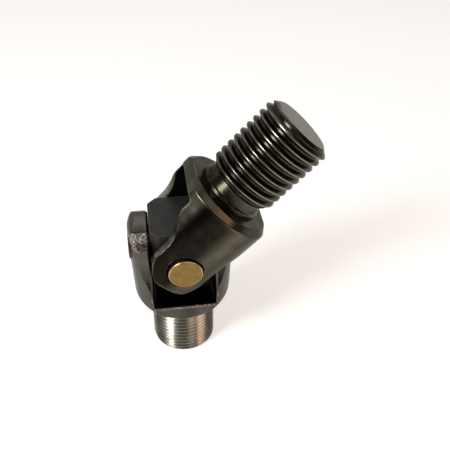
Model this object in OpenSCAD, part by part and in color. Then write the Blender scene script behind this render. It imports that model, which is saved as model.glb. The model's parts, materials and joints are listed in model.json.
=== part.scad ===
/* [Fork] */
// Outside diameter of both turned bodies
body_d = 31.4; // [31:0.1:31.8]
// Width of the slot between the two ears of a fork
slot_w = 18.8; // [18.6:0.1:19.2]
// Width across the two flat sides of an ear
ear_w = 17.7; // [17.2:0.1:18]
// Radius of the cutter that sweeps each ear side out to the body
waist_r = 16.5; // [15:0.5:18]

/* [Upper yoke] */
// Tilt of the upper yoke from the upright, close to its stop
rest_tilt = 43; // [0:1:43]
// Distance from the pins to the bottom of the upper slot
upper_slot_depth = 17.2; // [17:0.1:17.6]
// Width across the two spanner flats of the hub
hub_flats = 27; // [26:0.5:29]
// Distance from the pins to the hub's top face
hub_top = 21.5; // [21.2:0.1:22.4]
// Bevel around the hub's top face
hub_bevel = 1.7; // [1:0.1:2.2]
// Diameter of the plain neck below the thread
neck_d = 18.6; // [17.6:0.1:18.8]
// Distance from the pins to the first turn of the upper thread
upper_thread_start = 25.7; // [25.2:0.1:26.6]
// Distance from the pins to the end face of the upper stud
upper_stud_end = 50; // [46:0.2:56]
// Major diameter of the upper thread
upper_thread_d = 22; // [21.6:0.1:22.4]
// Pitch of the upper thread
upper_pitch = 2.5; // [2:0.25:2.5]

/* [Lower yoke] */
// Height of the pins above the end face of the lower stud
joint_h = 40.2; // [36.2:0.5:46.2]
// Distance from the pins to the bottom of the lower slot
lower_slot_depth = 18; // [17.4:0.1:18.4]
// Width across the flats in front of and behind the lower body
lower_flats = 22.6; // [22:0.1:24]
// Amount that the lower body tapers in radius towards its rounded bottom
lower_taper = 0.7; // [0.3:0.1:1]
// Radius of the rounded bottom of the lower body
bowl_r = 7; // [6.6:0.1:7.4]
// Major diameter of the lower thread
lower_thread_d = 20; // [19.6:0.1:20.4]
// Pitch of the lower thread
lower_pitch = 1.5; // [1.25:0.25:2]

/* [Cross] */
// Width of the centre block between the ears
block_w = 18.4; // [18:0.1:18.5]
// Height of the centre block
block_h = 18.2; // [17.4:0.1:18.8]
// Bevel along the block's upright edges
block_bevel = 2.4; // [1:0.1:3]
// Diameter of the brass pins
pin_d = 9.8; // [9:0.1:10]

/* [Hidden] */

// Forks
body_r = body_d / 2;
ear_half = ear_w / 2;
ear_r = 9.3;
ear_tip = ear_r - 0.05;
ear_corner_r = 2.6;
ear_corner_x = body_r - ear_corner_r;
ear_corner_z = ear_tip - ear_corner_r;
waist_start = 1.7;
slot_fillet = 1.2;
ear_bevel = 0.8;

// Pins and their holes
pin_r = pin_d / 2;
pin_play = 0.04;
pin_bevel = 0.45;
bore_bevel = 0.5;
main_pin_end = body_r + 0.6;
cross_pin_end = body_r;
cross_pin_start = pin_r + 0.3;

// Hub and studs
hub_shoulder_r = 10.7;
hub_shoulder_h = 1.2;
upper_bevel_in = 2.4;
upper_bevel_h = 1.7;
lower_bevel = 1.2;
bowl_z = -16.7;
bowl_x = body_r - lower_taper - bowl_r;
lower_stud_r = lower_thread_d / 2;
shoulder_z = bowl_z - sqrt(bowl_r ^ 2 - (lower_stud_r - bowl_x) ^ 2);

// Thread form: depth, crest and root as shares of the pitch
thread_depth = 0.6134;
thread_crest = 1 / 8;
thread_root = 1 / 4;
thread_segments = 30;
upper_groove_start = upper_thread_start - 0.9;
lower_groove_gap = 0.9;
groove_overrun = 1.5;

// Colours
steel = [0.24, 0.23, 0.21];
bright_steel = [0.4, 0.39, 0.37];
block_black = [0.16, 0.16, 0.15];
brass = [0.72, 0.57, 0.3];

// Cutters reach past the solid by these lengths
cut = 0.5;
big = 120;

// Moves a child from the crossing point of the pins to its place above the lower stud
module at_joint() {
    translate([0, 0, joint_h]) children();
}

// Side outline of a fork that stands on its ears: round end, swept waist, straight body
module fork_outline(flats, top) {
    reach = waist_r + ear_half - flats / 2;
    body_start = waist_start + sqrt(waist_r ^ 2 - reach ^ 2);
    intersection() {
        union() {
            circle(r = ear_r, $fn = 96);
            translate([-big / 2, 0]) square([big, top]);
        }
        union() {
            translate([-ear_half, -ear_r]) square([ear_w, ear_r + top]);
            translate([-flats / 2, body_start]) square([flats, top - body_start]);
            difference() {
                translate([-flats / 2, waist_start]) square([flats, body_start - waist_start]);
                for (side = [-1, 1])
                    translate([side * (ear_half + waist_r), waist_start]) circle(r = waist_r, $fn = 128);
            }
        }
    }
}

// Slot between the ears, with small fillets along its bottom
module fork_slot(depth) {
    half = slot_w / 2;
    rotate([90, 0, 0])
        linear_extrude(height = big, center = true) {
            translate([-half, -big]) square([slot_w, big + depth - slot_fillet]);
            translate([-half + slot_fillet, -big]) square([slot_w - 2 * slot_fillet, big + depth]);
            for (side = [-1, 1])
                translate([side * (half - slot_fillet), depth - slot_fillet])
                    circle(r = slot_fillet, $fn = 48);
        }
}

// Pin hole through both ears, with a small countersink at each mouth
module ear_bores() {
    bore_r = pin_r + pin_play;
    rotate([0, 90, 0]) {
        cylinder(r = bore_r, h = big, center = true, $fn = 96);
        for (side = [0, 1])
            mirror([0, 0, side])
                translate([0, 0, body_r - bore_bevel])
                    cylinder(r1 = bore_r, r2 = bore_r + 2 * bore_bevel, h = 2 * bore_bevel, $fn = 96);
    }
}

// Bevels along the inner edges of both ears, around the round end and up the waist
module ear_bevels() {
    reach = ear_bevel + cut;
    for (side = [0, 1])
        mirror([side, 0, 0])
            translate([slot_w / 2, 0, 0])
                rotate([0, 90, 0]) {
                    for (flank = [-1, 1])
                        translate([-waist_start, flank * (ear_half + waist_r), 0])
                            cylinder(r1 = waist_r + ear_bevel, r2 = waist_r - cut, h = reach, $fn = 128);
                    difference() {
                        translate([0, -ear_r - cut, 0]) cube([ear_r + cut, 2 * (ear_r + cut), reach]);
                        cylinder(r1 = ear_r - ear_bevel, r2 = ear_r + cut, h = reach, $fn = 96);
                    }
                }
}

// One fork with its ears along X: a turned child, cut to the side outline, slotted and drilled
module fork(flats, depth, top) {
    difference() {
        intersection() {
            children();
            rotate([90, 0, 90])
                linear_extrude(height = big, center = true)
                    fork_outline(flats, top);
        }
        fork_slot(depth);
        ear_bores();
        ear_bevels();
    }
}

// Helical groove that leaves a right-handed thread on a stud along Z
module thread_groove(major_d, pitch, from, to) {
    steps = ceil((to - from) / pitch * thread_segments);
    out_r = major_d / 2 + 0.1;
    root_r = major_d / 2 - thread_depth * pitch;
    out_half = pitch * (1 - thread_crest) / 2 + 0.06;
    root_half = pitch * thread_root / 2;
    section = [[out_r, -out_half], [root_r, -root_half], [root_r, root_half], [out_r, out_half]];
    n = len(section);
    points = [for (i = [0:steps], p = section)
        let (turn = i * 360 / thread_segments)
            [p[0] * cos(turn), p[0] * sin(turn), from + pitch * i / thread_segments + p[1]]];
    sides = [for (i = [0:steps - 1], j = [0:n - 1])
        let (a = i * n + j, b = i * n + (j + 1) % n)
            each [[a, b + n, b], [a, a + n, b + n]]];
    first = [[0, 1, 2], [0, 2, 3]];
    last = [for (f = [[0, 2, 1], [0, 3, 2]]) [for (k = f) steps * n + k]];
    polyhedron(points = points, faces = concat(sides, first, last));
}

// Turned form of the upper yoke along its own axis
module upper_turning() {
    thread_r = upper_thread_d / 2;
    neck_r = neck_d / 2;
    rotate_extrude($fn = 128) {
        polygon([
            [0, -ear_tip],
            [ear_corner_x, -ear_tip],
            [body_r, -ear_corner_z],
            [body_r, hub_top - hub_bevel],
            [body_r - hub_bevel, hub_top],
            [hub_shoulder_r, hub_top],
            [neck_r, hub_top + hub_shoulder_h],
            [neck_r, upper_thread_start],
            [thread_r, upper_thread_start + thread_r - neck_r],
            [thread_r, upper_stud_end - upper_bevel_h],
            [thread_r - upper_bevel_in, upper_stud_end],
            [0, upper_stud_end]
        ]);
        translate([ear_corner_x, -ear_corner_z]) circle(r = ear_corner_r, $fn = 64);
    }
}

// Turned form of the lower yoke below the crossing point of the pins
module lower_turning() {
    rotate_extrude($fn = 128) {
        polygon([
            [0, bowl_z],
            [body_r - lower_taper, bowl_z],
            [body_r, 0],
            [body_r, ear_corner_z],
            [ear_corner_x, ear_tip],
            [0, ear_tip]
        ]);
        translate([ear_corner_x, ear_corner_z]) circle(r = ear_corner_r, $fn = 64);
        translate([0, shoulder_z]) square([bowl_x, bowl_z - shoulder_z + cut]);
        intersection() {
            translate([bowl_x, bowl_z]) circle(r = bowl_r, $fn = 96);
            translate([0, shoulder_z]) square([body_r, bowl_z - shoulder_z]);
        }
        polygon([
            [0, -joint_h],
            [lower_stud_r - lower_bevel, -joint_h],
            [lower_stud_r, -joint_h + lower_bevel],
            [lower_stud_r, shoulder_z + cut],
            [0, shoulder_z + cut]
        ]);
    }
}

module upper_yoke() {
    color(steel)
        at_joint() rotate([0, rest_tilt, 0])
            difference() {
                rotate([0, 0, 90])
                    fork(hub_flats, upper_slot_depth, upper_stud_end + cut) upper_turning();
                thread_groove(upper_thread_d, upper_pitch, upper_groove_start, upper_stud_end + groove_overrun);
            }
}

module lower_yoke() {
    color(bright_steel)
        at_joint()
            difference() {
                mirror([0, 0, 1])
                    fork(lower_flats, lower_slot_depth, joint_h + cut)
                        mirror([0, 0, 1]) lower_turning();
                thread_groove(lower_thread_d, lower_pitch, -joint_h - groove_overrun, shoulder_z - lower_groove_gap);
            }
}

module centre_block() {
    bevelled_w = sqrt(2) * (block_w - block_bevel);
    color(block_black)
        at_joint()
            difference() {
                intersection() {
                    cube([block_w, block_w, block_h], center = true);
                    rotate([0, 0, 45]) cube([bevelled_w, bevelled_w, block_h], center = true);
                }
                rotate([90, 0, 0]) cylinder(r = pin_r, h = big, center = true, $fn = 96);
                rotate([0, 90, 0]) cylinder(r = pin_r, h = big, center = true, $fn = 96);
            }
}

// Plain round pin along Z with a small bevel at each end
module pin(from, to) {
    rotate_extrude($fn = 96)
        polygon([
            [0, from],
            [pin_r - pin_bevel, from],
            [pin_r, from + pin_bevel],
            [pin_r, to - pin_bevel],
            [pin_r - pin_bevel, to],
            [0, to]
        ]);
}

module main_pin() {
    color(brass) at_joint() rotate([90, 0, 0]) pin(-main_pin_end, main_pin_end);
}

// Short pin that reaches from the block out through one lower ear
module cross_pin(side) {
    color(brass) at_joint() rotate([0, side * 90, 0]) pin(cross_pin_start, cross_pin_end);
}

module cross_pin_left() {
    cross_pin(-1);
}

module cross_pin_right() {
    cross_pin(1);
}

upper_yoke();
lower_yoke();
centre_block();
main_pin();
cross_pin_left();
cross_pin_right();
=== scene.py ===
"""Looks of a threaded universal joint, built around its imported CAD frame."""

import json
import math

import bpy
import numpy as np
from mathutils import Matrix, Vector


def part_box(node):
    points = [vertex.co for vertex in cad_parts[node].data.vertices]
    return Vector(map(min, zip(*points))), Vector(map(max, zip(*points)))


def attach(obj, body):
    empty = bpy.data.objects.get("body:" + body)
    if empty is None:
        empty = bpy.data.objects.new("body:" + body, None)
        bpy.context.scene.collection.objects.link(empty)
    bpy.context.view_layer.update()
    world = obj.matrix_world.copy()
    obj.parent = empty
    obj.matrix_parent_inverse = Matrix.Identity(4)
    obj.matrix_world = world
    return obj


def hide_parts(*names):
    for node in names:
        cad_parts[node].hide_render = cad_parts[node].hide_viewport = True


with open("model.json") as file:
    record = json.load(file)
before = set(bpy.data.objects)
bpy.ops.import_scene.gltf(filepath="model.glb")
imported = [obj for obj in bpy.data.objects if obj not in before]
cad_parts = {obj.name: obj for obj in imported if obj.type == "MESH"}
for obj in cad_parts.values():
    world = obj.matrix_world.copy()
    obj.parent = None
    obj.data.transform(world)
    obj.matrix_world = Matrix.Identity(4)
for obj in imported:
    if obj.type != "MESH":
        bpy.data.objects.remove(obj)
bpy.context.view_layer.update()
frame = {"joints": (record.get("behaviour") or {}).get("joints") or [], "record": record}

# Sizes in millimetres, in the frame of a yoke: pins cross at the origin, the stud points along +Z
MM = 0.001
SQRT_HALF = math.sqrt(0.5)


def node_box(name):
    """Lowest and highest corner of a CAD node in millimetres."""
    low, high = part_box(name)
    return low / MM, high / MM


JOINT = Vector(frame["joints"][0]["pos_m"]) / MM
MOUNTS = {mount["name"]: mount for mount in frame["record"]["mounts"]}
UPPER_AXIS = Vector(MOUNTS["upper_stud"]["axis"])
REST_TILT = math.atan2(UPPER_AXIS.x, UPPER_AXIS.z)
BODY_R = node_box("lower_yoke")[1].x
PIN_R = (node_box("main_pin")[1].z - node_box("main_pin")[0].z) / 2
MAIN_PIN_END = node_box("main_pin")[1].y
CROSS_PIN_END = node_box("cross_pin_right")[1].x
CROSS_PIN_START = node_box("cross_pin_right")[0].x
BLOCK_W = 2 * node_box("centre_block")[1].x
BLOCK_H = node_box("centre_block")[1].z - node_box("centre_block")[0].z
BLOCK_BEVEL = 2.4
BLOCK_PLAY = 0.05

# Fork sizes shared by both yokes
SLOT_HALF = 9.4
SLOT_FILLET = 1.2
EAR_HALF = 8.85
EAR_R = 9.3
EAR_TIP = EAR_R - 0.05
UPPER_CORNER_R = 2.6
LOWER_CORNER_R = 3.3
EAR_BEVEL = 0.7
WAIST_R = 16.5
WAIST_START = 1.7
BORE_R = PIN_R + 0.04
BORE_BEVEL = 0.5
EDGE_R = 0.22
MILL_FEED = 1.1
MILL_DEPTH = 0.006

# Torn patch on one lower ear: its depth, and its start, fade and end in degrees from the ear's tip
TEAR_DEPTH = 0.07
TEAR_STARTS = 33
TEAR_FADES = 56
TEAR_ENDS = 72

# Upper yoke
CREST_WEAR = 0.04
UPPER_SLOT_DEPTH = 17.2
HUB_FLATS = 27.0
HUB_TOP = 21.5
HUB_BEVEL = 1.7
STEP_R = 10.1
STEP_H = 1.3
NECK_R = 9.3
UPPER_THREAD_START = 25.7
UPPER_END = 50.0
UPPER_R = MOUNTS["upper_stud"]["dims"]["r_mm"] - CREST_WEAR
UPPER_PITCH = 2.5
UPPER_BEVEL_IN = 2.4
UPPER_BEVEL_H = 1.7
NECK_JOIN = HUB_TOP - 0.3
NECK_RIDGES = 5
NECK_RIDGE = 0.018

# Lower yoke
LOWER_SLOT_DEPTH = 18.0
LOWER_FLATS = 22.6
TAPER = 0.7
BOWL_R = 7.0
BOWL_Z = 16.7
BOWL_X = BODY_R - TAPER - BOWL_R
LOWER_R = MOUNTS["lower_stud"]["dims"]["r_mm"]
LOWER_PITCH = 1.5
LOWER_BEVEL = 0.7
LOWER_END = JOINT.z
LOWER_SHOULDER = BOWL_Z + math.sqrt(BOWL_R ** 2 - (LOWER_R - BOWL_X) ** 2)
LOWER_JOIN = LOWER_SHOULDER + 0.7

# Thread forms: depth, and the flat crest and root as shares of the pitch
UPPER_THREAD = {"depth": 0.52 * UPPER_PITCH, "crest": 0.13, "root": 0.24}
LOWER_THREAD = {"depth": 0.40 * LOWER_PITCH, "crest": 0.05, "root": 0.05}

# Mesh resolution, and how far around a point its wear is judged
CELL = 0.28
WEAR_REACH = 0.5


# Rounded boolean operations on distance fields
def round_max(a, b, r):
    """Intersection of two distance fields with a rounded edge."""
    return np.minimum(-r, np.maximum(a, b)) + np.hypot(np.maximum(r + a, 0), np.maximum(r + b, 0))


def round_min(a, b, r):
    """Union of two distance fields with a filleted corner."""
    return -round_max(-a, -b, r)


def smooth_step(t):
    """Smooth ramp from 0 to 1 as t goes from 0 to 1."""
    t = np.clip(t, 0, 1)
    return t * t * (3 - 2 * t)


# Mesh of a distance field
def gradient(distance, points, step=0.02):
    """Slope of a distance field at each point."""
    slopes = []
    for axis in range(3):
        shift = np.zeros(3)
        shift[axis] = step
        ahead = distance(*(points + shift).T)
        behind = distance(*(points - shift).T)
        slopes.append((ahead - behind) / (2 * step))
    return np.stack(slopes, axis=1)


def cell_points(values, cells, low, cell):
    """Mean of the places where the surface crosses the twelve edges of each cell."""
    corners = np.array([[i, j, k] for i in (0, 1) for j in (0, 1) for k in (0, 1)])
    at = [values[tuple((cells + c).T)] for c in corners]
    total = np.zeros(cells.shape)
    hits = np.zeros(len(cells))
    for first in range(8):
        for second in range(first + 1, 8):
            if np.abs(corners[first] - corners[second]).sum() != 1:
                continue
            a, b = at[first], at[second]
            crossed = (a < 0) != (b < 0)
            share = np.where(crossed, a / np.where(crossed, a - b, 1), 0)
            place = corners[first] + share[:, None] * (corners[second] - corners[first])
            total += np.where(crossed[:, None], place, 0)
            hits += crossed
    return np.array(low) + cell * (cells + total / hits[:, None])


def surface_net(distance, low, high, cell):
    """Closed quad mesh of the surface where the distance is zero: points, faces and normals."""
    axes = [np.arange(a, b + cell, cell) for a, b in zip(low, high)]
    values = distance(*np.meshgrid(*axes, indexing="ij"))
    inside = values < 0
    size = np.array(values.shape) - 1
    count = np.zeros(size, int)
    for i in (0, 1):
        for j in (0, 1):
            for k in (0, 1):
                count += inside[i:size[0] + i, j:size[1] + j, k:size[2] + k]
    cells = np.argwhere((count > 0) & (count < 8))
    index = np.full(size, -1)
    index[tuple(cells.T)] = np.arange(len(cells))
    points = cell_points(values, cells, low, cell)
    for _ in range(3):
        slope = gradient(distance, points)
        reach = np.clip(distance(*points.T), -cell, cell)
        points -= (reach / np.maximum((slope ** 2).sum(1), 0.25))[:, None] * slope
    faces = []
    for axis in range(3):
        u, v = (axis + 1) % 3, (axis + 2) % 3
        first = np.moveaxis(inside, axis, 0)
        crossed = np.moveaxis(np.zeros(inside.shape, bool), axis, 0)
        crossed[:-1] = first[:-1] != first[1:]
        edges = np.argwhere(np.moveaxis(crossed, 0, axis))
        ring = []
        for du, dv in ((-1, -1), (0, -1), (0, 0), (-1, 0)):
            near = edges.copy()
            near[:, u] += du
            near[:, v] += dv
            ring.append(index[tuple(near.T)])
        quads = np.stack(ring, axis=1)
        leaving = inside[tuple(edges.T)]
        faces.append(np.where(leaving[:, None], quads, quads[:, ::-1]))
    slope = gradient(distance, points)
    normals = slope / np.linalg.norm(slope, axis=1)[:, None]
    return points, np.concatenate(faces), normals


def wear_masks(distance, points, normals):
    """How far each point lies on a raised edge, and how far in a hollow, from 0 to 1."""
    below = distance(*(points - WEAR_REACH * normals).T)
    above = distance(*(points + WEAR_REACH * normals).T)
    edge = np.clip((below + WEAR_REACH) / WEAR_REACH, 0, 1)
    hollow = np.clip((WEAR_REACH - above) / WEAR_REACH, 0, 1)
    return edge, hollow


def make_object(name, points, faces, masks, matrix, normals=None):
    """Mesh object from points in the piece's own frame, which stay on the points for the materials."""
    points = np.asarray(points, float)
    turn = np.array(matrix.to_3x3())
    mesh = bpy.data.meshes.new(name)
    mesh.from_pydata(((points @ turn.T) * MM + np.array(matrix.translation)).tolist(), [], faces)
    place = mesh.attributes.new("place", "FLOAT_VECTOR", "POINT")
    place.data.foreach_set("vector", points.astype(np.float32).ravel())
    for mask_name, values in masks.items():
        layer = mesh.attributes.new(mask_name, "FLOAT", "POINT")
        layer.data.foreach_set("value", np.asarray(values, np.float32))
    mesh.polygons.foreach_set("use_smooth", [True] * len(mesh.polygons))
    if normals is not None:
        mesh.normals_split_custom_set_from_vertices((normals @ turn.T).tolist())
    piece = bpy.data.objects.new(name, mesh)
    bpy.context.scene.collection.objects.link(piece)
    return piece


def net_object(name, distance, low, high, matrix, **marks):
    """Piece made from a distance field, with fields that say where its surface is torn or worn, and
    where shade or a highlight is painted on it.
    """
    points, faces, normals = surface_net(distance, low, high, CELL)
    edge, hollow = wear_masks(distance, points, normals)
    masks = {"edge": edge, "hollow": hollow}
    for mark, share in marks.items():
        masks[mark] = share(points, normals)
    return make_object(name, points, faces.tolist(), masks, matrix, normals)


# Forks
def ripple(x, y, z):
    """Uneven field between -1 and 1 for torn metal."""
    coarse = np.sin(3.1 * x + 1.7 * y) * np.sin(2.3 * z + 0.9 * x)
    fine = np.sin(5.3 * y - 2.9 * x) * np.sin(4.7 * z + 1.3)
    return 0.5 * (coarse + fine)


def torn_end(x, y, z):
    """Share of the torn patch on the front of one ear's round end, from 0 to 1."""
    lean = np.degrees(np.arctan2(y, -z))
    upper_half = 0.5 + 0.5 * smooth_step((TEAR_FADES - lean) / 8)
    patch = upper_half * smooth_step((lean - TEAR_STARTS) / 4) * smooth_step((TEAR_ENDS - lean) / 4)
    return np.where(x < 0, patch, 0)


def fork_distance(x, y, z, turned, flats, depth):
    """Distance to a fork with its ears along X, round ends towards -Z and body towards +Z."""
    width = np.abs(y)
    sweep = WAIST_R - np.hypot(width - EAR_HALF - WAIST_R, z - WAIST_START)
    waist = np.where(z > WAIST_START, sweep, width - EAR_HALF)
    waist = waist + MILL_DEPTH * (1 + np.cos(2 * math.pi * z / MILL_FEED))
    flank = round_max(waist, width - flats / 2, EDGE_R)
    end = np.where(z < 0, np.hypot(y, z), width - 2 * z) - EAR_R
    outline = round_max(flank, end, EDGE_R)
    slot = round_max(np.abs(x) - SLOT_HALF, z - depth, SLOT_FILLET)
    bevel = EDGE_R + (EAR_BEVEL - EDGE_R) * smooth_step((depth - z) / 4)
    bore = np.hypot(y, z) - BORE_R
    solid = round_max(turned, outline, EDGE_R)
    solid = round_max(solid, -slot, EDGE_R / 2)
    solid = round_max(solid, (outline - slot + bevel) * SQRT_HALF, EDGE_R / 2)
    solid = round_max(solid, -bore, EDGE_R / 4)
    return np.maximum(solid, (turned - bore + BORE_BEVEL) * SQRT_HALF)


def upper_turned(r, z):
    """Distance to the upper yoke's turned hub, without its neck."""
    rim = (r - BODY_R + z - HUB_TOP + HUB_BEVEL) * SQRT_HALF
    hub = round_max(round_max(r - BODY_R, rim, EDGE_R), z - HUB_TOP, EDGE_R)
    return round_max(hub, -z - EAR_TIP, UPPER_CORNER_R)


def lower_turned(r, z):
    """Distance to the lower yoke's tapered body with its rounded bottom, and the root of its stud."""
    side = r - BODY_R + TAPER * np.clip(z / BOWL_Z, 0, 1)
    bowl = np.hypot(np.maximum(r - BOWL_X, 0), z - BOWL_Z) - BOWL_R
    body = np.where(z > BOWL_Z, bowl, side)
    body = round_max(body, -z - EAR_TIP, LOWER_CORNER_R)
    stud = np.maximum(r - LOWER_R + 0.1, z - LOWER_JOIN)
    return round_min(body, stud, 0.2)


def upper_fork(x, y, z):
    """Distance to the upper fork and hub."""
    return fork_distance(x, y, z, upper_turned(np.hypot(x, y), z), HUB_FLATS, UPPER_SLOT_DEPTH)


def lower_fork(x, y, z):
    """Distance to the lower fork and bowl, stud side towards +Z."""
    fork = fork_distance(x, y, z, lower_turned(np.hypot(x, y), z), LOWER_FLATS, LOWER_SLOT_DEPTH)
    return fork + TEAR_DEPTH * torn_end(x, y, z) * (1 + ripple(x, y, z))


# Marks on the forks, from 0 to 1: how far each point is torn, rubbed or turned, and where shade or a
# highlight is painted
def turned_face(x, y):
    """Share of the upper fork's turned front and back."""
    return smooth_step((np.hypot(x, y) - BODY_R + 0.6) / 0.4)


def below_bevel(z):
    """Share of the upper fork below the hub's bevel."""
    return smooth_step((HUB_TOP - HUB_BEVEL - z) / 0.6)


def waist_torn(points, normals):
    """Rough milling on the upper fork's swept sides."""
    z = points[:, 2]
    swept = smooth_step((np.abs(normals[:, 1]) - 0.55) / 0.2)
    return 0.75 * swept * smooth_step((8 - z) / 3) * smooth_step(z + 1)


def front_stained(points, normals):
    """Painted shade: a dark band along the upper fork's turned front and back, from the hub to the pin,
    standing in for a dark reflection.
    """
    x, y, z = points.T
    band = smooth_step((y + 3.5) / 6) * smooth_step((10.6 - y) / 1.6)
    return turned_face(x, y) * band * below_bevel(z)


def upper_rubbed_and_highlight(points, normals):
    """Painted highlight as a faint light strip along one front edge of the upper fork, rubbed flanks
    beside the pin, and lighter hub flats.
    """
    x, y, z = points.T
    # Painted highlight: this strip stands in for light caught along that edge
    strip = turned_face(x, y) * smooth_step((y - 10.2) / 0.4) * below_bevel(z)
    facing = np.abs(normals[:, 1])
    flank = smooth_step((facing - 0.6) / 0.2) * smooth_step((8 - z) / 3)
    flats = smooth_step((facing - 0.95) / 0.03) * smooth_step((z - 12) / 2)
    return np.maximum(0.1 * np.maximum(strip, flats), 0.45 * flank)


def lower_stained(points, normals):
    """Painted shade on the flanks of the lower ears, more on the right one and towards the bowl on the
    left one, and painted black inside the lower slot.
    """
    x, _, z = points.T
    flat = smooth_step((np.abs(normals[:, 1]) - 0.8) / 0.15)
    # Painted shade: the right flank dark along its length, the left one darker towards the bowl
    flank_shade = np.where(x > 0, 0.8, 0.5 * smooth_step((z - 1) / 5))
    flank = flank_shade * flat * smooth_step(np.abs(x) - 8) * smooth_step((BOWL_Z - z) / 4)
    # Painted shade: the inside of the slot turns black
    between_ears = smooth_step((SLOT_HALF + 0.2 - np.abs(x)) / 0.15)
    inside = between_ears * smooth_step((LOWER_SLOT_DEPTH + 0.3 - z) / 0.2)
    return np.maximum(flank, inside)


def lower_light_tops(points, normals):
    """Lighter tops of the lower ears' round ends."""
    _, y, z = points.T
    lean = np.degrees(np.arctan2(y, -z))
    return 0.12 * smooth_step((-z - 5) / 2) * smooth_step((TEAR_STARTS - lean) / 4)


def hub_turned(points, normals):
    """Lathe marks on the hub's bevel, and fainter ones on its top."""
    z = points[:, 2]
    top = smooth_step((z - HUB_TOP + 0.1) / 0.1)
    return smooth_step((z - HUB_TOP + HUB_BEVEL) / 0.3) * (1 - 0.6 * top)


def lower_torn(points, normals):
    """Torn patch on the round end of one lower ear, and the burr along the lower edge of the slot."""
    x, y, z = points.T
    burr = smooth_step((0.5 - np.abs(z - LOWER_SLOT_DEPTH - 0.2)) / 0.3) * (np.abs(x) < SLOT_HALF)
    outside = smooth_step((np.abs(y) - LOWER_FLATS / 2 + 0.8) / 0.4)
    return np.maximum(torn_end(x, y, z), 0.8 * burr * outside)


# Centre block
def block_solid(x, y, z):
    """Distance to the centre block with its bevelled upright edges."""
    sides = np.maximum(np.abs(x) - SLOT_HALF + BLOCK_PLAY, np.abs(y) - BLOCK_W / 2)
    corner = (np.abs(x) + np.abs(y) - BLOCK_W + BLOCK_BEVEL) * SQRT_HALF
    around = round_max(sides, corner, EDGE_R)
    return round_max(around, np.abs(z) - BLOCK_H / 2, EDGE_R)


# Threaded studs
def thread_share(along, turn, start, pitch, form):
    """Depth of a right-handed thread, as a share from 0 at the crest to 1 at the root."""
    phase = (along - start) / pitch - turn / (2 * math.pi)
    off_root = np.abs((phase + 0.5) % 1 - 0.5)
    crest = 0.5 - form["crest"] / 2
    root = form["root"] / 2
    return np.clip((crest - off_root) / (crest - root), 0, 1)


def merged(points, faces):
    """Faces that share one vertex wherever points coincide, without the ones that shrink to a line."""
    _, first, same = np.unique(points.round(4), axis=0, return_index=True, return_inverse=True)
    kept = []
    for face in same.reshape(-1)[faces]:
        corners = list(dict.fromkeys(face.tolist()))
        if len(corners) > 2:
            kept.append(corners)
    return first, kept


def stud_object(name, radius, crest, low, high, pitch, matrix):
    """Threaded stud between two heights, with rows along the helix and a disc at each end."""
    turns, rows_per_pitch = 168, 24
    step = pitch / rows_per_pitch
    rows = math.ceil((high - low) / step) + rows_per_pitch + 1
    turn = np.arange(turns) * 2 * math.pi / turns
    along = low - pitch + np.arange(rows)[:, None] * step + pitch * turn / (2 * math.pi)
    along = np.clip(along, low, high).ravel()
    turn = np.tile(turn, rows)
    at = np.arange(rows * turns).reshape(rows, turns)
    following = np.roll(at, -1, axis=1)
    following[:, -1] = at[np.minimum(np.arange(rows) + rows_per_pitch, rows - 1), 0]
    faces = np.stack([at[:-1], following[:-1], following[1:], at[1:]], axis=2).reshape(-1, 4)

    r = radius(along, turn)
    points = np.stack([r * np.cos(turn), r * np.sin(turn), along], axis=1)
    first, faces = merged(points, faces)
    points, along, turn, r = points[first], along[first], turn[first], r[first]
    small = 0.01
    climb = (radius(along + small, turn) - radius(along - small, turn)) / (2 * small)
    swing = (radius(along, turn + small / r) - radius(along, turn - small / r)) / (2 * small)
    normals = np.stack([
        np.cos(turn) + swing * np.sin(turn), np.sin(turn) - swing * np.cos(turn), -climb], axis=1)
    normals /= np.linalg.norm(normals, axis=1)[:, None]

    share = crest(along, turn)
    bare = np.zeros(len(points))
    for height, facing in ((low, -1), (high, 1)):
        rim = np.flatnonzero(np.abs(along - height) < 1e-6)
        rim = rim[np.argsort(facing * turn[rim])]
        base = len(points)
        points = np.concatenate([points, points[rim], [[0, 0, height]]])
        normals = np.concatenate([normals, np.tile([0, 0, facing], (len(rim) + 1, 1))])
        share = np.concatenate([share, np.full(len(rim), 0.3), [0.0]])
        bare = np.concatenate([bare, np.ones(len(rim) + 1)])
        count = len(rim)
        faces += [[base + i, base + (i + 1) % count, base + count] for i in range(count)]
    masks = {
        "edge": np.clip(share, 0, 1), "hollow": np.clip(-share, 0, 1), "bare": bare, "lathe": bare,
    }
    return make_object(name, points, faces, masks, matrix, normals)


# Pins
def pin_object(name, start, end, matrix, dirty_rims, turns=96):
    """Round pin along Z with bevelled rims, a faced end with a small dimple, and dirty sides."""
    rim = 0.3
    outline = [
        (0.25, start + 0.1), (0.5, start), (PIN_R - rim - 0.05, start), (PIN_R - rim, start + 0.02),
        (PIN_R - 0.02, start + rim), (PIN_R, start + rim + 0.05), (PIN_R, end - rim - 0.05),
        (PIN_R - 0.02, end - rim), (PIN_R - rim, end - 0.02), (PIN_R - rim - 0.05, end),
        (0.5, end), (0.25, end - 0.1),
    ]
    turn = np.arange(turns) * 2 * math.pi / turns
    points = [(r * math.cos(a), r * math.sin(a), z) for r, z in outline for a in turn]
    faces = []
    for row in range(len(outline) - 1):
        for i in range(turns):
            j = (i + 1) % turns
            base = row * turns
            faces.append((base + i, base + j, base + turns + j, base + turns + i))
    faces.append(list(range(turns))[::-1])
    faces.append([(len(outline) - 1) * turns + i for i in range(turns)])
    rows = np.arange(len(outline))
    rims = np.isin(rows, (3, 4, 7, 8))
    sides = np.isin(rows, (5, 6))
    masks = {
        "edge": np.repeat(rims * (0.0 if dirty_rims else 1.0), turns),
        "hollow": np.repeat((sides | rims if dirty_rims else sides) * 1.0, turns),
    }
    piece = make_object(name, points, faces, masks, matrix)
    piece.data.set_sharp_from_angle(angle=math.radians(25))
    return piece


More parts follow.
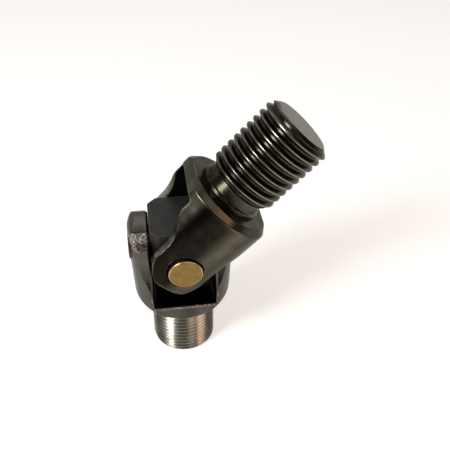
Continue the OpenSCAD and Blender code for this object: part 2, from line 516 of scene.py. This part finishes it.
# Frames of the pieces, and the profiles of the two studs
AT_JOINT = Matrix.Translation(JOINT * MM)
UPPER_FRAME = AT_JOINT @ Matrix.Rotation(REST_TILT, 4, "Y")
UPPER_FORK_FRAME = UPPER_FRAME @ Matrix.Rotation(math.pi / 2, 4, "Z")
LOWER_FORK_FRAME = AT_JOINT @ Matrix.Rotation(math.pi, 4, "X")


def upper_share(along, turn):
    """Thread depth share of the upper stud, which starts beside the neck."""
    run_in = smooth_step(along - UPPER_THREAD_START + 1)
    return run_in * thread_share(along, turn, UPPER_THREAD_START - 0.9, UPPER_PITCH, UPPER_THREAD)


def upper_radius(along, turn):
    """Radius of the upper stud: step on the hub, plain neck, thread and bevelled end."""
    turns = along / UPPER_PITCH - turn / (2 * math.pi)
    ridges = NECK_RIDGE * (1 + np.cos(2 * math.pi * NECK_RIDGES * turns))
    step = (STEP_R - NECK_R) * smooth_step((HUB_TOP + STEP_H - along) / 0.35)
    neck = np.clip(along - UPPER_THREAD_START + NECK_R, NECK_R - ridges + step, UPPER_R)
    bevel = UPPER_R - UPPER_BEVEL_IN * np.clip((along - UPPER_END) / UPPER_BEVEL_H + 1, 0, 2)
    thread = UPPER_R - UPPER_THREAD["depth"] * upper_share(along, turn)
    return np.minimum(np.minimum(neck, bevel), thread)


def upper_crest(along, turn):
    """Worn crest above 0 and dirty root below 0 on the upper stud."""
    threaded = smooth_step((along - UPPER_THREAD_START) / 1.5)
    corner = smooth_step((HUB_TOP + 0.3 - along) / 0.25)
    return threaded * (0.6 - 3 * upper_share(along, turn)) - corner


def lower_share(along, turn):
    """Thread depth share of the lower stud, fading out below the bowl."""
    run_out = smooth_step((-LOWER_SHOULDER - 0.3 - along) / 1.0)
    return run_out * thread_share(along, turn, -LOWER_END - 1.5, LOWER_PITCH, LOWER_THREAD)


def lower_radius(along, turn):
    """Radius of the lower stud: thread and bevelled end."""
    bevel = LOWER_R - LOWER_BEVEL + np.maximum(along + LOWER_END, -1)
    return np.minimum(bevel, LOWER_R - LOWER_THREAD["depth"] * lower_share(along, turn))


def lower_crest(along, turn):
    """Worn crest above 0 and dirty root below 0 on the lower stud."""
    return 1 - 2 * lower_share(along, turn)


# Pieces
upper_body = net_object(
    "upper_yoke_body", upper_fork, (-16.5, -16.5, -10.4), (16.5, 16.5, 22.6), UPPER_FORK_FRAME,
    torn=waist_torn, stain=front_stained, bare=upper_rubbed_and_highlight, lathe=hub_turned)
lower_body = net_object(
    "lower_yoke_body", lower_fork, (-16.5, -16.5, -10.4), (16.5, 16.5, 25.2), LOWER_FORK_FRAME,
    torn=lower_torn, stain=lower_stained, bare=lower_light_tops)
block = net_object("block", block_solid, (-9.8, -9.8, -10.3), (9.8, 9.8, 10.3), AT_JOINT)
upper_stud = stud_object(
    "upper_yoke_stud", upper_radius, upper_crest, NECK_JOIN, UPPER_END, UPPER_PITCH, UPPER_FRAME)
lower_stud = stud_object(
    "lower_yoke_stud", lower_radius, lower_crest, -LOWER_END, -LOWER_SHOULDER + 0.2, LOWER_PITCH,
    AT_JOINT)

along_y = AT_JOINT @ Matrix.Rotation(math.pi / 2, 4, "X")
main_pin = pin_object("long_pin", -MAIN_PIN_END, MAIN_PIN_END, along_y, False)
side_pins = {}
for side, turn in (("left", -math.pi / 2), ("right", math.pi / 2)):
    along_x = AT_JOINT @ Matrix.Rotation(turn, 4, "Y")
    side_pins[side] = pin_object(f"short_pin_{side}", CROSS_PIN_START, CROSS_PIN_END, along_x, True)


# Materials
class Shader:
    """Small builder for one node material."""

    def __init__(self, name):
        """Start a material with its surface shader."""
        self.material = bpy.data.materials.new(name)
        self.material.use_nodes = True
        self.tree = self.material.node_tree
        self.bsdf = self.tree.nodes["Principled BSDF"]

    def add(self, kind, **settings):
        """New node with its settings."""
        node = self.tree.nodes.new(kind)
        for key, value in settings.items():
            setattr(node, key, value)
        return node

    def feed(self, socket, value):
        """Put a number, a colour or another node's output into a socket."""
        if isinstance(value, (int, float)):
            socket.default_value = value
        elif isinstance(value, tuple):
            socket.default_value = (*value, 1)
        else:
            self.tree.links.new(value, socket)

    def surface(self, **inputs):
        """Set inputs of the surface shader, named with underscores for spaces."""
        for key, value in inputs.items():
            self.feed(self.bsdf.inputs[key.replace("_", " ")], value)

    def math(self, operation, a, b=0.0, clamp=False):
        """Sum, product or other operation on two values."""
        node = self.add("ShaderNodeMath", operation=operation, use_clamp=clamp)
        self.feed(node.inputs[0], a)
        self.feed(node.inputs[1], b)
        return node.outputs[0]

    def mask(self, name):
        """Share that is kept on the points of the mesh, 0 where a mesh has none."""
        return self.add("ShaderNodeAttribute", attribute_name=name).outputs["Fac"]

    def place(self):
        """Place in the piece's own frame, in millimetres."""
        return self.add("ShaderNodeAttribute", attribute_name="place").outputs["Vector"]

    def split(self, vector):
        """The three parts of a vector."""
        node = self.add("ShaderNodeSeparateXYZ")
        self.feed(node.inputs[0], vector)
        return node.outputs

    def join(self, x, y, z):
        """Vector from its three parts."""
        node = self.add("ShaderNodeCombineXYZ")
        for socket, value in zip(node.inputs, (x, y, z)):
            self.feed(socket, value)
        return node.outputs[0]

    def turned(self):
        """Coordinates that only change with radius and height, for marks left by a lathe."""
        x, y, z = self.split(self.place())
        squares = self.math("ADD", self.math("MULTIPLY", x, x), self.math("MULTIPLY", y, y))
        return self.join(self.math("SQRT", squares), 0.0, z)

    def stretched(self, along):
        """Coordinates squeezed along the axis, for streaks that run with it."""
        x, y, z = self.split(self.place())
        return self.join(x, y, self.math("MULTIPLY", z, along))

    def noise(self, vector, scale, detail=3.0, roughness=0.5):
        """Cloudy noise around 0.5."""
        node = self.add("ShaderNodeTexNoise")
        self.feed(node.inputs["Vector"], vector)
        self.feed(node.inputs["Scale"], scale)
        self.feed(node.inputs["Detail"], detail)
        self.feed(node.inputs["Roughness"], roughness)
        return node.outputs["Fac"]

    def remap(self, value, low, high, to_low, to_high, smooth=False):
        """Value moved from one range to another and held inside it."""
        node = self.add("ShaderNodeMapRange", interpolation_type="SMOOTHSTEP" if smooth else "LINEAR")
        self.feed(node.inputs["Value"], value)
        ends = {"From Min": low, "From Max": high, "To Min": to_low, "To Max": to_high}
        for key, number in ends.items():
            self.feed(node.inputs[key], number)
        return node.outputs[0]

    def mix(self, share, a, b):
        """Blend from colour a to colour b."""
        node = self.add("ShaderNodeMix", data_type="RGBA")
        self.feed(node.inputs["Factor"], share)
        self.feed(node.inputs[6], a)
        self.feed(node.inputs[7], b)
        return node.outputs[2]

    def bump(self, height, strength, distance_mm, below=None):
        """Surface normal tilted by a height field, on top of another one where it is given."""
        node = self.add("ShaderNodeBump")
        self.feed(node.inputs["Strength"], strength)
        self.feed(node.inputs["Distance"], distance_mm * MM)
        self.feed(node.inputs["Height"], height)
        if below is not None:
            self.feed(node.inputs["Normal"], below)
        return node.outputs[0]


# Colours and roughness shared by the steels
STEEL_ROUGHNESS = 0.22
# Near-black colour of the painted shade on the forks
PAINTED_SHADE_COLOUR = (0.0095, 0.0076, 0.0063)
TURNED = (0.037, 0.035, 0.031)
TORN_SPARK = (0.78, 0.76, 0.72)
GRAZING = (0.65, 0.65, 0.64)


def steel(name, dark, light, worn, bare, dirt=0.75, grain=0.06, grazing=GRAZING):
    """Oiled steel: streaky film, lathe marks, worn edges, dirty hollows, torn and bare patches, painted
    shade on the forks and a faint painted highlight strip.
    """
    s = Shader(name)
    specks = s.noise(s.place(), 2.6, 5.0, 0.65)
    tears = s.noise(s.place(), 2.0, 2.0, 0.6)
    lines = s.noise(s.turned(), 5.0, 2.0)
    streaks = s.noise(s.stretched(0.12), 0.17, 3.0, 0.45)
    clouds = s.noise(s.place(), 0.35, 4.0)
    tone = s.remap(streaks, 0.4, 0.6, 0.0, 0.8, True)
    tone = s.math("ADD", tone, s.remap(clouds, 0.35, 0.65, -0.15, 0.2), True)
    film = s.mix(tone, dark, light)
    # Painted shade: near black on the upper fork's dark front band, the lower ears' shaded flanks and
    # the inside of the lower slot
    film = s.mix(s.math("MULTIPLY", s.mask("stain"), s.remap(clouds, 0.3, 0.7, 0.85, 1.0)), film, PAINTED_SHADE_COLOUR)
    film = s.mix(s.math("MULTIPLY", s.mask("lathe"), 0.6), film, TURNED)
    edge = s.math("ADD", s.mask("edge"), s.remap(specks, 0.3, 0.7, -0.09, 0.09))
    edge = s.remap(edge, 0.22, 0.75, 0.0, 0.75)
    film = s.mix(edge, film, worn)
    # Bare patches lighten the film, and so does a faint painted highlight strip on the upper fork
    film = s.mix(s.math("MULTIPLY", s.mask("bare"), s.remap(clouds, 0.3, 0.7, 0.8, 1.0)), film, bare)
    film = s.mix(s.math("MULTIPLY", s.mask("bare"), s.remap(specks, 0.52, 0.66, 0.0, 0.5)), film, dark)
    film = s.mix(s.remap(s.mask("hollow"), 0.1, 0.9, 0.0, dirt), film, tuple(0.4 * v for v in dark))
    torn = s.mask("torn")
    film = s.mix(s.math("MULTIPLY", torn, s.remap(specks, 0.42, 0.6, 0.15, 0.9)), film, worn)
    film = s.mix(s.math("MULTIPLY", torn, s.remap(specks, 0.55, 0.62, 0.0, 0.9)), film, TORN_SPARK)
    rough = s.remap(specks, 0.3, 0.7, -0.01, 0.01)
    rough = s.math("ADD", rough, s.remap(clouds, 0.3, 0.7, -0.03, 0.04))
    rough = s.math("ADD", rough, s.math("MULTIPLY", torn, 0.08))
    rough = s.math("ADD", rough, s.math("MULTIPLY", s.mask("bare"), 0.12))
    rough = s.math("ADD", rough, STEEL_ROUGHNESS, True)
    normal = s.bump(specks, grain, 0.03)
    normal = s.bump(tears, torn, 0.22, normal)
    normal = s.bump(lines, s.math("MULTIPLY", s.mask("lathe"), 0.2), 0.02, normal)
    s.surface(Base_Color=film, Metallic=1.0, Specular_Tint=grazing, Roughness=rough, Normal=normal)
    return s.material


def brass(name):
    """Turned brass with faint facing rings, a dull film, small dents and dirt on its sides."""
    s = Shader(name)
    clouds = s.noise(s.place(), 0.5, 4.0)
    rings = s.noise(s.turned(), 5.0, 2.0)
    specks = s.noise(s.place(), 4.0, 5.0, 0.6)
    film = s.mix(s.remap(clouds, 0.35, 0.65, 0.0, 1.0), (0.19, 0.12, 0.038), (0.24, 0.158, 0.054))
    film = s.mix(s.remap(specks, 0.6, 0.8, 0.0, 0.5), film, (0.12, 0.072, 0.026))
    film = s.mix(s.math("MULTIPLY", s.mask("edge"), 0.7), film, (0.50, 0.37, 0.17))
    film = s.mix(s.math("MULTIPLY", s.mask("hollow"), 0.9), film, (0.035, 0.028, 0.021))
    normal = s.bump(rings, 0.15, 0.02, s.bump(specks, 0.1, 0.03))
    rough = s.remap(specks, 0.3, 0.7, 0.3, 0.45)
    s.surface(Base_Color=film, Metallic=1.0, Roughness=rough, Normal=normal)
    return s.material


def black_oxide(name):
    """Matte blackened block with a faint grain, scuffed edges and a few light marks, and painted shade
    that makes it near black and less shiny towards its lower part.
    """
    s = Shader(name)
    clouds = s.noise(s.place(), 0.25, 4.0)
    specks = s.noise(s.place(), 5.0, 5.0, 0.65)
    marks = s.noise(s.place(), 0.8, 2.0)
    film = s.mix(s.remap(clouds, 0.35, 0.65, 0.0, 1.0), (0.015, 0.015, 0.0144), (0.025, 0.025, 0.0238))
    film = s.mix(s.remap(marks, 0.70, 0.74, 0.0, 0.4), film, (0.17, 0.17, 0.16))
    edge = s.math("ADD", s.mask("edge"), s.remap(specks, 0.3, 0.7, -0.25, 0.25))
    film = s.mix(s.remap(edge, 0.25, 0.8, 0.0, 0.45), film, (0.15, 0.15, 0.14))
    height = s.split(s.place())[2]
    # Painted shade: near black and less shiny towards the lower part of the block, which sits in shade
    # between the ears
    film = s.mix(s.remap(height, 4.0, 8.8, 0.85, 0.0, True), film, (0.003, 0.003, 0.003))
    shine = s.remap(height, 2.0, 7.5, 0.05, 0.3, True)
    rough = s.remap(specks, 0.3, 0.7, 0.48, 0.66)
    normal = s.bump(specks, 0.2, 0.04)
    s.surface(Base_Color=film, Specular_IOR_Level=shine, Roughness=rough, Normal=normal)
    return s.material


DARK_STEEL = steel(
    "dark_steel", dark=(0.052, 0.0475, 0.033), light=(0.106, 0.100, 0.074),
    worn=(0.30, 0.28, 0.235), bare=(0.36, 0.355, 0.30), grain=0.02)
BODY_STEEL = steel(
    "body_steel", dark=(0.056, 0.052, 0.044), light=(0.094, 0.089, 0.075),
    worn=(0.35, 0.33, 0.30), bare=(0.40, 0.39, 0.35))
THREAD_STEEL = steel(
    "thread_steel", dark=(0.29, 0.28, 0.235), light=(0.38, 0.37, 0.31),
    worn=(0.42, 0.41, 0.36), bare=(0.46, 0.45, 0.41), dirt=0.15, grain=0.01, grazing=(0.3, 0.3, 0.29))
BLACK_OXIDE = black_oxide("black_oxide")
BRASS = brass("brass")

# Which body, material and CAD node each piece belongs to
for piece, body, slot, node, material in (
    (upper_body, "upper", "dark_steel", "upper_yoke", DARK_STEEL),
    (upper_stud, "upper", "dark_steel", "upper_yoke", DARK_STEEL),
    (lower_body, "lower", "bright_steel", "lower_yoke", BODY_STEEL),
    (lower_stud, "lower", "bright_steel", "lower_yoke", THREAD_STEEL),
    (block, "cross", "black_steel", "centre_block", BLACK_OXIDE),
    (main_pin, "cross", "brass", "main_pin", BRASS),
    (side_pins["left"], "cross", "brass", "cross_pin_left", BRASS),
    (side_pins["right"], "cross", "brass", "cross_pin_right", BRASS),
):
    piece.data.materials.append(material)
    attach(piece, body)
    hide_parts(node)


# Floor, light and camera
FLOOR_GLOW = 0.42


def white_material(name):
    """White sweep that keeps the shadow, lifted a little where it is seen directly or in the metal."""
    s = Shader(name)
    path = s.add("ShaderNodeLightPath").outputs
    seen = s.math("MAXIMUM", path["Is Camera Ray"], path["Is Glossy Ray"])
    seen = s.math("MAXIMUM", seen, path["Is Transmission Ray"])
    s.surface(
        Base_Color=(0.9, 0.9, 0.9), Roughness=0.9, Specular_IOR_Level=0.0,
        Emission_Color=(1.0, 1.0, 1.0), Emission_Strength=s.math("MULTIPLY", seen, FLOOR_GLOW))
    return s.material


def stage_plane(name, size, location, tilt):
    """Square white plane of the studio, tilted about X."""
    bpy.ops.mesh.primitive_plane_add(size=size, location=location, rotation=(tilt, 0, 0))
    plane = bpy.context.object
    plane.name = name
    plane.data.materials.append(white_material(name))


stage_plane("floor", 6, (0, 0, 0), 0)
stage_plane("backdrop", 7, (0, 1.3, 3.5), math.pi / 2)

AIM = Vector((0.01, 0, 0.045))
LAMP_DISTANCE = 0.6


def softbox(name, direction, size, power, colour):
    """Square lamp in a direction from the object, turned to face it."""
    lamp = bpy.data.lights.new(name, "AREA")
    lamp.size = size
    lamp.energy = power
    lamp.color = colour
    holder = bpy.data.objects.new(name, lamp)
    bpy.context.scene.collection.objects.link(holder)
    holder.location = AIM + LAMP_DISTANCE * Vector(direction).normalized()
    holder.rotation_euler = (AIM - holder.location).to_track_quat("-Z", "Y").to_euler()


# Lamps: direction from the object, size in metres, power in watts and colour
softbox("key", (-0.685, -0.43, 0.585), 0.19, 2.5, (1.0, 0.99, 0.97))
softbox("warm_front", (0.27, -0.70, 0.66), 0.18, 0.3, (1.0, 0.76, 0.63))
softbox("warm_side", (0.68, -0.46, 0.56), 0.30, 0.64, (1.0, 0.68, 0.52))
softbox("warm_top", (0.42, -0.22, 0.88), 0.32, 0.25, (1.0, 0.74, 0.62))
softbox("overhead", (0.1, 0.3, 0.95), 1.0, 1.4, (1.0, 0.99, 0.97))

world = bpy.data.worlds.new("studio")
world.use_nodes = True
world.node_tree.nodes["Background"].inputs["Color"].default_value = (0.12, 0.117, 0.104, 1)
bpy.context.scene.world = world
bpy.context.scene.view_settings.view_transform = "Standard"

# Camera at the photograph's angle, placed from a point on the lower yoke's axis
CAMERA_CENTRE = Vector((0, 0, 0.0395))
CAMERA_ELEVATION = math.radians(38.89)
CAMERA_AZIMUTH = math.radians(-9.19)
CAMERA_ROLL = math.radians(1.26)
CAMERA_DISTANCE = 0.18172
CAMERA_RIGHT = 0.013387
CAMERA_UP = 0.004573
FOCAL_PIXELS = 600
PICTURE_PIXELS = 450

back = Vector((
    math.sin(CAMERA_AZIMUTH) * math.cos(CAMERA_ELEVATION),
    -math.cos(CAMERA_AZIMUTH) * math.cos(CAMERA_ELEVATION),
    math.sin(CAMERA_ELEVATION)))
level_right = Vector((math.cos(CAMERA_AZIMUTH), math.sin(CAMERA_AZIMUTH), 0))
level_up = back.cross(level_right)
right = math.cos(CAMERA_ROLL) * level_right + math.sin(CAMERA_ROLL) * level_up
up = math.cos(CAMERA_ROLL) * level_up - math.sin(CAMERA_ROLL) * level_right
lens = bpy.data.cameras.new("camera")
lens.sensor_width = 36
lens.lens = lens.sensor_width * FOCAL_PIXELS / PICTURE_PIXELS
lens.clip_start = 0.01
camera = bpy.data.objects.new("camera", lens)
bpy.context.scene.collection.objects.link(camera)
pose = Matrix((right, up, back)).transposed().to_4x4()
pose.translation = CAMERA_CENTRE + CAMERA_RIGHT * right + CAMERA_UP * up + CAMERA_DISTANCE * back
camera.matrix_world = pose
bpy.context.scene.camera = camera
